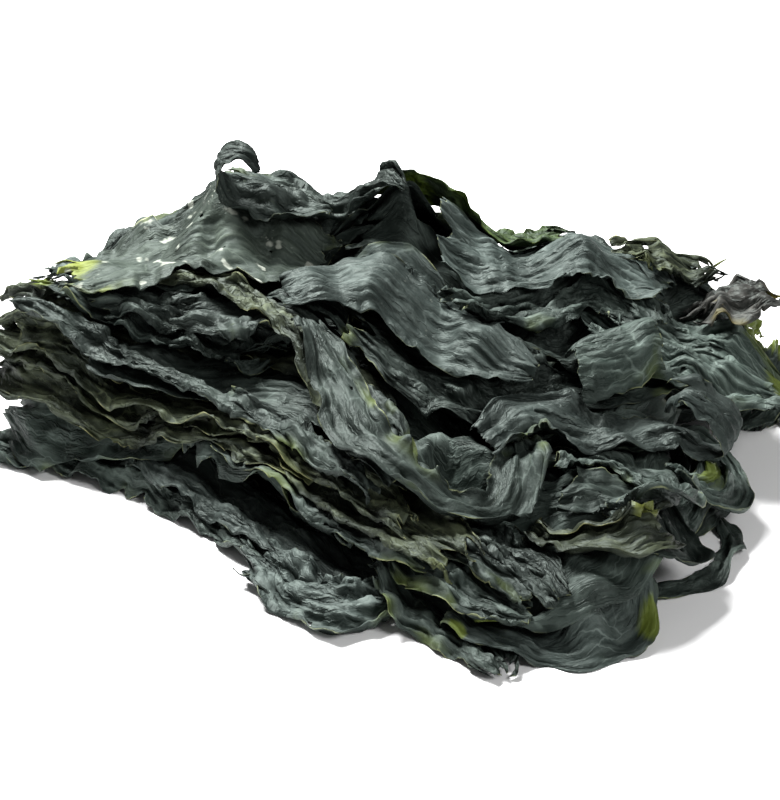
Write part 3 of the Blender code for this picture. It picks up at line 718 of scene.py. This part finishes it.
# %% Raising
CLEAR = 0.25           # air kept above the fine blades below
WIDE_SHARE = 0.5       # share of a lift that the whole neighbourhood gets, so that pleats survive


def spread(values, times, highest):
    """Each value replaced by the highest or the mean of it and its eight neighbours, so many times."""
    for _ in range(times):
        near = with_neighbours(values)
        values = np.max(near, axis=0) if highest else np.mean(near, axis=0)
    return values


def kept_clear(heap, middle):
    """The surface, raised smoothly where it would sink into the heap.

    The lift at a point is what it needs, or a share of what its neighbours need if that is more."""
    needed = np.maximum(heap.under(middle[..., 0], middle[..., 1]) + CLEAR - middle[..., 2], 0)
    lift = np.maximum(needed, WIDE_SHARE * spread(spread(needed, 4, True), 5, False))
    for _ in range(4):
        lift = np.maximum(lift, spread(lift, 1, False))
    return middle + np.array([0, 0, 1.0]) * lift[..., None]


# %% [markdown]
# ## Torn margins and ends
# Dried margins chip and ends tear. The finished surface is read again at places that are pulled in
# by a seeded bite along each margin and by a ragged cut at each end, so the outline gets notches
# and tongues while the surface stays one piece.

# %% Tearing
BITE = 0.16            # deepest usual notch, as a share of the half width
TEAR = 10.0            # depth of the ragged ends
# frond: how ragged it is, with 1 as usual
RAGGED = {"ragged_left": 2.2, "ragged_right": 2.2, "brown_sheet": 1.8, "right_edge": 1.8,
          "lip_band": 1.4, "hook": 0.3, "right_loop": 0.3, "rolled_blade": 0.2, "s_fold": 0.6,
          "outer_lobe": 0.4, "inner_lobe": 0.4, "long_strip": 0.4, "blue_sheet": 0.5}


def read_at(values, row, column):
    """Values of a lattice at fractional rows and columns, blended from the four corners."""
    i = np.clip(row.astype(int), 0, values.shape[0] - 2)
    j = np.clip(column.astype(int), 0, values.shape[1] - 2)
    f, g = row - i, column - j
    if values.ndim == 3:
        f, g = f[..., None], g[..., None]
    upper = values[i, j] * (1 - g) + values[i, j + 1] * g
    lower = values[i + 1, j] * (1 - g) + values[i + 1, j + 1] * g
    return upper * (1 - f) + lower * f


def torn(frond, across, along):
    """Rows and columns at which the lattice is read so that margins are notched and ends torn.

    Noise above 0.6 pulls v in, and noise of its own pulls s in at each end. Both pulls fade inwards,
    by the cube of v and by the fifth power of s."""
    rows, columns = across.shape[0] - 1, across.shape[1] - 1
    s, v = even_lattice(rows, columns)
    amount = RAGGED.get(frond.name, 1.0)
    k = 100 * frond.seed + 40
    notch = np.clip(wander(along / 60, np.sign(v) * 7.3, k, 7) - 0.6, 0, 1.5) * BITE * amount
    v = v * (1 - notch * np.abs(v) ** 3)
    base_cut, tip_cut = (
        TEAR * amount / frond.length
        * np.clip(0.5 + 0.5 * wander(across / 22, np.full(1, float(end)), k + 1 + end), 0, 1.3)
        for end in (0, 1))
    s = s + base_cut * (1 - s) ** 5 - tip_cut * s ** 5
    return np.clip(s, 0, 1) * rows, (v + 1) / 2 * columns


# %% [markdown]
# ## Holes
# The ends that stick out of the heap have holes where the thin blade broke away. A cell of the
# lattice is left out where noise is high near a set place.

# %% Holes
HOLE_LEVEL = 0.55      # above this a cell is air
# frond: places as share along, share across from -1 to 1, and radius in millimetres
HOLES = {
    "ragged_left": [(0.06, 0.4, 12), (0.14, -0.5, 12), (0.24, 0.5, 8)],
    "ragged_right": [(0.8, 0.3, 10), (0.93, -0.3, 9)],
    "right_edge": [(0.8, 0.5, 8), (0.95, -0.4, 8), (0.6, -0.5, 5)],
    "brown_sheet": [(0.9, 0.5, 7)],
    "brown_strip": [(0.03, -0.3, 7), (0.1, 0.4, 5)],
    "pale_sheet": [(0.02, 0.7, 5)],
    "low_left": [(0.5, 0.4, 4)],
}


def near_places(frond, places, across, along):
    """1 in the middle of each place in the list, falling to 0 at its radius."""
    total = np.zeros(across.shape)
    for share_along, share_across, radius in places:
        to_side = across - share_across * frond.width * frond.gather / 2
        away = np.hypot(along - share_along * frond.length, to_side)
        total = np.maximum(total, np.clip(1 - away / radius, 0, 1))
    return total


def whole_cells(frond, across, along):
    """Which cells are blade: those where the noise is low, or that are far from the set places."""
    centre_across = (across[1:, 1:] + across[:-1, :-1]) / 2
    centre_along = (along[1:, 1:] + along[:-1, :-1]) / 2
    near = near_places(frond, HOLES.get(frond.name, []), centre_across, centre_along)
    ragged = 0.22 * wander(centre_along / 14, centre_across / 11, 100 * frond.seed + 50)
    return near + ragged < HOLE_LEVEL


# %% [markdown]
# ## From surface to piece
# Each blade becomes one closed mesh: thin at its margins, thicker in the middle. What the skin
# needs to know is stored on its corners: the place on the flat blade, the distance from the
# margin, how much a spot stands out as a crest, how thin it dried, and for the whole frond its tone
# and how wrinkled it is.

# %% Piece
SKIN_THICK = 0.5       # thickness of a fine blade in its middle
SKIN_EDGE = 0.2        # and at its margin


def placed(name, data):
    """A new object with this data, in the scene."""
    thing = bpy.data.objects.new(name, data)
    bpy.context.scene.collection.objects.link(thing)
    return thing


def piece_of(frond, middle, kept, attributes):
    """A closed Blender mesh round the middle surface, with the attributes on both its faces.

    It is thin at the margin and thickens inwards by `1 - exp(-edge / 2)`."""
    thickness = SKIN_EDGE + (SKIN_THICK - SKIN_EDGE) * (1 - np.exp(-attributes["edge"] / 2))
    points = (blade_points(middle, thickness) - LAID_ORIGIN) / 1000
    faces = blade_faces(kept)
    used = np.unique(faces)
    place_of = np.zeros(len(points), int)
    place_of[used] = np.arange(len(used))
    mesh = bpy.data.meshes.new(frond.name + "_blade")
    mesh.from_pydata(points[used].tolist(), [], place_of[faces].tolist())
    for name, values in attributes.items():
        kind = "FLOAT_VECTOR" if values.ndim == 3 else "FLOAT"
        corners = np.concatenate([values, values]).reshape(len(points), -1)
        both = corners[used].astype(np.float32).ravel()
        layer = mesh.attributes.new(name, kind, "POINT")
        layer.data.foreach_set("vector" if kind == "FLOAT_VECTOR" else "value", both)
    mesh.shade_smooth()
    return placed(frond.name + "_blade", mesh)


# %% [markdown]
# ## Green, thin places
# Here and there the blade dried so thin that light comes through, and that glow is painted into its
# colour as yellow-green. Some of these places are plain to see, so they are set by frond, place and
# size. The rest is left to chance along the margins.

# %% Thin places
# At these places a painted glow of light shining through is put into the colour
# frond: places as share along, share across from -1 to 1, and radius in millimetres
THIN = {
    "pale_sheet": [(0.0, 0.3, 32)],
    "green_back": [(0.3, 0.0, 24)],
    "outer_lobe": [(0.8, -0.8, 10), (0.1, -0.9, 7)],
    "inner_lobe": [(0.25, -0.9, 10)],
    "right_edge": [(0.95, -0.6, 34), (0.9, 0.6, 26), (0.6, -0.9, 14)],
    "right_fan": [(1.0, 0.5, 18)],
    "brown_sheet": [(1.0, 0.6, 20)],
    "ragged_right": [(1.0, 0.8, 20)],
    "spiral_bed": [(0.75, -0.8, 20)],
    "folded_lip": [(0.8, 0.9, 10)],
    "rosette": [(0.7, -0.9, 12)],
    "ragged_left": [(0.0, -0.6, 16)],
}
print("fronds with holes:", len(HOLES), "and with green places:", len(THIN))

# %% [markdown]
# ## The skin
# The dried blade is a dark grey-green with a satin, waxy gloss. Its crests are lighter and bluish,
# partly rubbed wear and partly a painted highlight of the gloss, and its valleys keep a near-black
# colour as painted shade. Margins are a thin yellowish line, partly the torn edge's own paler colour
# and partly a painted rim highlight, and thin places get a painted yellow-green glow of light shining
# through. Some strips are olive brown, and salt has dried on it in pale specks. One node group works
# all this out from the stored places, and each kind of blade puts its own colours in.

# %% Node helpers
def feed(node, inputs):
    """Gives the node's inputs these values, and returns its outputs. A socket given is linked."""
    for name, value in inputs.items():
        if isinstance(value, bpy.types.NodeSocket):
            node.id_data.links.new(value, node.inputs[name])
        else:
            node.inputs[name].default_value = value
    return node.outputs


def add_node(tree, kind, inputs, **settings):
    """The outputs of a new node with these settings and inputs."""
    node = tree.nodes.new("ShaderNode" + kind)
    for name, value in settings.items():
        setattr(node, name, value)
    return feed(node, inputs)


def math_node(operation, *values, clamp=False):
    """One step of arithmetic on values and sockets. It goes into the tree that the sockets are in."""
    tree = next(value.id_data for value in values if isinstance(value, bpy.types.NodeSocket))
    return add_node(tree, "Math", dict(enumerate(values)), operation=operation, use_clamp=clamp)[0]


def times(*values):
    """The product of values and sockets."""
    product = values[0]
    for value in values[1:]:
        product = math_node("MULTIPLY", product, value)
    return product


def plus(first, second):
    """The sum of two values or sockets."""
    return math_node("ADD", first, second)


def blend_node(amount, first, second, blend="MIX"):
    """The first colour turned into the second, or multiplied by it, by the amount."""
    return add_node(first.id_data, "Mix", {0: amount, 6: first, 7: second}, data_type="RGBA",
                    blend_type=blend)[2]


def ramp(value, low, high):
    """The value turned to 0 at low and 1 at high, smoothly between."""
    return add_node(value.id_data, "MapRange", {0: value, 1: low, 2: high},
                    interpolation_type="SMOOTHSTEP")[0]


def stored(tree, name, output="Fac"):
    """What is stored on the mesh's corners under this name."""
    return add_node(tree, "Attribute", {}, attribute_name=name)[output]


def stretched(at, share):
    """The places with the one along the blade shortened to a share, so that patterns grow long."""
    return add_node(at.id_data, "Mapping", {"Vector": at, "Scale": (1, share, 1)})[0]


def noise_node(at, scale, detail, roughness=0.5):
    """Soft noise at these places, as a value and as a colour of three values."""
    return add_node(at.id_data, "TexNoise", {"Vector": at, "Scale": scale, "Detail": detail,
                                             "Roughness": roughness})


def new_group(name, inputs, outputs):
    """An empty node group with these sockets: the group, what it is given, and its last node."""
    group = bpy.data.node_groups.new(name, "ShaderNodeTree")
    for in_out, sockets in (("INPUT", inputs), ("OUTPUT", outputs)):
        for socket, kind in sockets.items():
            group.interface.new_socket(socket, in_out=in_out, socket_type="NodeSocket" + kind)
    return group, group.nodes.new("NodeGroupInput").outputs, group.nodes.new("NodeGroupOutput")


# %% Wrinkle group
def wrinkle_group():
    """Crisp small wrinkles, each kind in two sizes: facets of a stretched mosaic, and lengthwise
    ridges where a stretched noise crosses its middle.

    Gives the height of the wrinkles, and a mask of the lines themselves."""
    group, _, result = new_group("dried wrinkles", {}, {"Height": "Float", "Lines": "Float"})
    place_on = stored(group, "place", "Vector")
    noise = noise_node(place_on, 1.6, 3)["Color"]
    bent = add_node(group, "VectorMath", {0: noise, 1: (0.55, 0.55, 0)}, operation="MULTIPLY")[0]
    bent = add_node(group, "VectorMath", {0: place_on, 1: bent}, operation="ADD")[0]
    height, lines = 0.0, 0.0
    for scale, squeeze, share in ((1.1, 0.34, 1.3), (3.2, 0.42, 0.36)):
        away = add_node(group, "TexVoronoi", {"Vector": stretched(bent, squeeze), "Scale": scale},
                        feature="DISTANCE_TO_EDGE")["Distance"]
        height = plus(height, times(math_node("MINIMUM", away, 0.45), 2.6 * share))
        lines = math_node("MAXIMUM", lines, times(ramp(away, 0.045, 0.0), share))
    for scale, squeeze, share in ((1.3, 0.16, 0.7), (3.6, 0.2, 0.25)):
        wave = noise_node(stretched(bent, squeeze), scale, 3)[0]
        ridge = times(ramp(math_node("ABSOLUTE", plus(wave, -0.5)), 0.06, 0.0), share)
        height = plus(height, ridge)
        lines = math_node("MAXIMUM", lines, times(ridge, 0.6))
    feed(result, {"Height": height, "Lines": lines})
    return group


# %% Skin group
COLOURS = ("Base", "Crest", "Thin", "Margin")
AMOUNTS = ("Salt", "Green", "Crease line and glint")
SALT_COLOUR = (0.34, 0.36, 0.31, 1)


def skin_group(wrinkles):
    """Colour, roughness and fine height of a dried blade.

    The colour goes from base to crest by the stored crest and a streaky noise: the near-black base
    in the valleys is painted shade, and the lighter crest is partly rubbed wear and partly a painted
    highlight. It is then darkened in patches, turned green where thin as a painted glow of light
    shining through, pale at the margin, partly as a painted rim highlight, and white where salt lies.
    The three amounts say how much salt, green margin and light crease line, partly a painted
    highlight, this kind has."""
    group, given, result = new_group(
        "dried blade skin",
        {**dict.fromkeys(COLOURS, "Color"), **dict.fromkeys(AMOUNTS, "Float")},
        {"Color": "Color", "Roughness": "Float", "Height": "Float"})

    # What the patterns follow: the place on the flat blade, and the place in the heap
    lengthwise = stretched(stored(group, "place", "Vector"), 0.13)
    coords = add_node(group, "TexCoord", {})["Object"]
    streaks = noise_node(lengthwise, 3.6, 6, 0.62)[0]
    patches = noise_node(coords, 26, 3)[0]
    grain = noise_node(coords, 1500, 2)[0]
    crease = add_node(group, "Group", {}, node_tree=wrinkles)
    # Crests and crease lines are lighter, partly rubbed wear and partly a painted highlight, and the
    # valleys keep the near-black base as painted shade. Whole patches are darker or lighter
    lit = plus(times(stored(group, "crest"), 0.7), plus(times(streaks, 0.65), 0.18))
    # Pale lines along the creases, partly a painted highlight where a crease catches the light
    creased = times(crease["Lines"], given["Crease line and glint"], ramp(patches, 0.35, 0.6))
    worn_and_lit = plus(times(ramp(lit, 0.35, 1.1), 0.8), creased)
    colour = blend_node(math_node("MINIMUM", worn_and_lit, 1.0), given["Base"], given["Crest"])
    shade = plus(times(ramp(patches, 0.3, 0.7), 0.6), 0.65)
    shade = times(shade, plus(stored(group, "tone"), 1.0))
    grey = add_node(group, "CombineColor", {0: shade, 1: shade, 2: shade})[0]
    colour = blend_node(1.0, colour, grey, "MULTIPLY")
    # Thin places let light through: that glow is painted into the colour as yellow-green
    edge = stored(group, "edge")
    chance = times(ramp(edge, 7.0, 0.0), ramp(patches, 0.56, 0.7), given["Green"])
    spots = ramp(plus(stored(group, "thin"), times(plus(streaks, -0.5), 0.8)), 0.12, 0.5)
    thin = math_node("MAXIMUM", chance, spots, clamp=True)
    colour = blend_node(times(thin, 0.85), colour, given["Thin"])
    # The torn margin is a thin pale line, broken here and there: partly the edge's own paler colour,
    # partly a painted rim highlight
    line = times(ramp(edge, 0.5, 0.1), ramp(streaks, 0.48, 0.6), ramp(patches, 0.42, 0.58))
    colour = blend_node(times(line, 0.8), colour, given["Margin"])
    # Dried salt: small pale specks in some places, and larger blots where there is much of it
    speck = add_node(group, "TexVoronoi", {"Vector": coords, "Scale": 420})[0]
    cloud, blots = noise_node(coords, 45, 3)[0], noise_node(coords, 95, 2)[0]
    salt = times(ramp(speck, 0.32, 0.12), ramp(cloud, 0.55, 0.72), given["Salt"])
    blots = times(ramp(blots, 0.62, 0.68), ramp(given["Salt"], 0.5, 0.9), 0.7)
    salt = math_node("MAXIMUM", salt, blots)
    colour = blend_node(salt, colour, SALT_COLOUR)
    rough = plus(plus(times(patches, 0.3), 0.45), times(salt, 0.3))
    # Some patches are smoother than others, and a fine grain lies over everything
    wrinkled = plus(times(ramp(patches, 0.62, 0.42), 0.8), 0.2)
    height = plus(times(crease["Height"], wrinkled), times(streaks, 0.35))
    height = plus(times(height, stored(group, "wrinkled")), times(grain, 0.07))
    feed(result, {"Color": colour, "Roughness": rough, "Height": height})
    return group


# %% [markdown]
# ## Kinds of blade
# The same species dries to different colours, by age and by how thick the blade is. Each kind gets
# one material. The blue kind is the blade's own grey-green, made lighter and bluish as a painted
# sheen of its satin gloss.

# %% Materials
# Crest: partly rubbed wear, partly a painted highlight. Base: also the painted shade in the valleys
# kind: its COLOURS as linear values, then its AMOUNTS
# Margin: partly the torn edge's paler colour, partly a painted rim highlight
# Thin: a painted glow of light shining through the thin blade
KINDS = {
    "dark": ((0.0070, 0.0113, 0.0092), (0.049, 0.063, 0.055), (0.10, 0.13, 0.012), (0.24, 0.26, 0.12),
             0.12, 0.5, 0.65),
    # blue: the dark skin made lighter and bluish, a painted sheen of the satin gloss
    "blue": ((0.0125, 0.0182, 0.0163), (0.069, 0.085, 0.078), (0.10, 0.13, 0.012), (0.24, 0.26, 0.13),
             0.2, 0.4, 0.6),
    "olive": ((0.0090, 0.0118, 0.0056), (0.058, 0.068, 0.038), (0.075, 0.085, 0.012), (0.28, 0.28, 0.12),
              0.15, 0.45, 0.8),
    "pale": ((0.020, 0.028, 0.022), (0.090, 0.112, 0.090), (0.17, 0.20, 0.030), (0.36, 0.38, 0.22),
             0.9, 0.7, 0.4),
    "green": ((0.014, 0.025, 0.008), (0.055, 0.085, 0.025), (0.075, 0.115, 0.010), (0.24, 0.30, 0.05),
              0.1, 1.0, 0.4),
    "brown": ((0.0130, 0.0118, 0.0105), (0.065, 0.061, 0.056), (0.14, 0.11, 0.012), (0.24, 0.22, 0.10),
              0.2, 0.8, 0.6),
}
BUMP_DEPTH = 0.0014    # metres


def kelp_material(kind, group):
    """A satin skin whose colours and relief come from the group."""
    material = bpy.data.materials.new("dried kelp " + kind)
    material.use_nodes = True
    tree = material.node_tree
    values = [(*value, 1) if isinstance(value, tuple) else value for value in KINDS[kind]]
    skin = add_node(tree, "Group", dict(zip(COLOURS + AMOUNTS, values)), node_tree=group)
    bump = add_node(tree, "Bump", {"Height": skin["Height"], "Distance": BUMP_DEPTH, "Strength": 0.9})
    feed(tree.nodes["Principled BSDF"], {
        "Base Color": skin["Color"], "Roughness": skin["Roughness"], "Normal": bump["Normal"],
        "Specular IOR Level": 0.32, "Specular Tint": (0.85, 1.0, 0.92, 1)})
    return material


group = skin_group(wrinkle_group())
materials = {kind: kelp_material(kind, group) for kind in KINDS}
print("materials:", len(materials))

# %% [markdown]
# ## Lighter and darker fronds
# Even blades of one kind differ, some lighter and some darker. Where the picture shows which is
# which, the tone is set by frond, and else its seed decides.

# %% Tones
TONE_STEP = 0.22       # share by which one step of tone makes a frond lighter
# frond: steps lighter than its kind, or darker below zero
TONE = {
    "rolled_blade": 3.0, "right_fan": 3.0, "spiral_bed": 2.5, "blue_sheet": 1.5, "right_edge": 1.5,
    "rosette": 1.0, "silver_pocket": 0.8, "outer_lobe": 0.6, "grey_piece": 0.5, "long_strip": 0.2,
    "s_fold": -1.0, "middle_sweep": -1.0, "narrow_ridge": -1.0, "dark_strips": -1.0, "upper_left": -1.2,
    "pale_sheet": -1.3, "centre_fold": -1.4, "middle_pleats": -1.6, "folded_lip": -1.6, "wide_fall": -2.0,
}
print("fronds with a tone of their own:", len(TONE))

# %% [markdown]
# ## Make the blades
# In the order in which they were laid, each frond gets its fine surface, is kept clear of what lies
# under it, is torn, and goes onto the fine height map for those that follow.

# %% All pieces
fine_heap = Heap()
triangles = 0
for frond in laid:
    hidden = frond.name.startswith("inner")
    steps = (HIDDEN_STEP, HIDDEN_STEP) if hidden else (ALONG_STEP, ACROSS_STEP)
    middle, across, along, crest = fine_surface(frond, *steps)
    middle = kept_clear(fine_heap, middle)
    row, column = torn(frond, across, along)
    middle, across, along, crest = (read_at(values, row, column)
                                    for values in (middle, across, along, crest))
    s, v = even_lattice(across.shape[0] - 1, across.shape[1] - 1)
    edge = np.minimum((1 - np.abs(v)) * frond.width / 2, np.minimum(s, 1 - s) * frond.length)
    tone = TONE_STEP * TONE.get(frond.name, np.sin(2.4 * frond.seed))
    # The fine wrinkles are weaker where the blade is smooth
    pleated, crumpled = RELIEF.get(frond.name, USUAL_RELIEF)
    wrinkled = 0.25 + 0.75 * min(1, 0.6 * pleated + 0.5 * crumpled)
    piece = piece_of(frond, middle, whole_cells(frond, across, along), {
        "place": np.stack([across / 10, along / 10, np.full(across.shape, float(frond.seed))], axis=2),
        "edge": edge, "crest": crest, "thin": near_places(frond, THIN.get(frond.name, []), across, along),
        "tone": np.full(across.shape, tone), "wrinkled": np.full(across.shape, wrinkled)})
    piece.data.materials.append(materials[frond.skin])
    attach(piece, "root")
    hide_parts(frond.name)
    triangles += len(piece.data.polygons)
    # The next fronds are kept clear of its upper face
    upper = middle + np.array([0, 0, SKIN_THICK / 2])
    halfway = (upper[1:, 1:] + upper[:-1, :-1]) / 2
    fine_heap.raise_map(np.concatenate([upper.reshape(-1, 3), halfway.reshape(-1, 3)]))
print("pieces:", len(laid), "triangles:", triangles)

# %% [markdown]
# ## Floor, light and camera
# A plain pale floor and soft light from above, a little from behind, as in the picture: the tops of
# the folds shine and the hollows go dark.

# %% Stage
FLOOR_SIZE = 6.0
bpy.ops.mesh.primitive_plane_add(size=FLOOR_SIZE)
floor = bpy.context.object
floor.name = "floor"
paint = bpy.data.materials.new("pale floor")
paint.use_nodes = True
feed(paint.node_tree.nodes["Principled BSDF"], {"Base Color": (0.85, 0.85, 0.85, 1), "Roughness": 0.7})
floor.data.materials.append(paint)


def area_light(name, place_at, size, power):
    """A soft square light at that place, turned to the heap's middle."""
    light = placed(name, bpy.data.lights.new(name, "AREA"))
    light.data.size = size
    light.data.energy = power
    light.location = place_at
    light.rotation_euler = (Vector((0, 0, 0.05)) - light.location).to_track_quat("-Z", "Y").to_euler()


area_light("top light", (-0.4, 0.5, 1.2), 0.45, 72)
area_light("front light", (0.9, -1.0, 1.2), 0.5, 16)
world = bpy.data.worlds.new("studio")
world.use_nodes = True
feed(world.node_tree.nodes["Background"], {"Color": (1, 1, 1, 1), "Strength": 0.18})
bpy.context.scene.world = world
bpy.context.scene.view_settings.view_transform = "Standard"

# %% Camera
slope = np.radians(LOOKING_DOWN)
toward = np.array([0, np.cos(slope), -np.sin(slope)])
eye = (AIM - LAID_ORIGIN - CAMERA_DISTANCE * toward) / 1000
camera = placed("camera", bpy.data.cameras.new("camera"))
camera.data.lens = LENS
camera.location = eye
camera.rotation_euler = (np.pi / 2 - slope, 0, 0)
bpy.context.scene.camera = camera
print("camera at, m:", np.round(eye, 3))
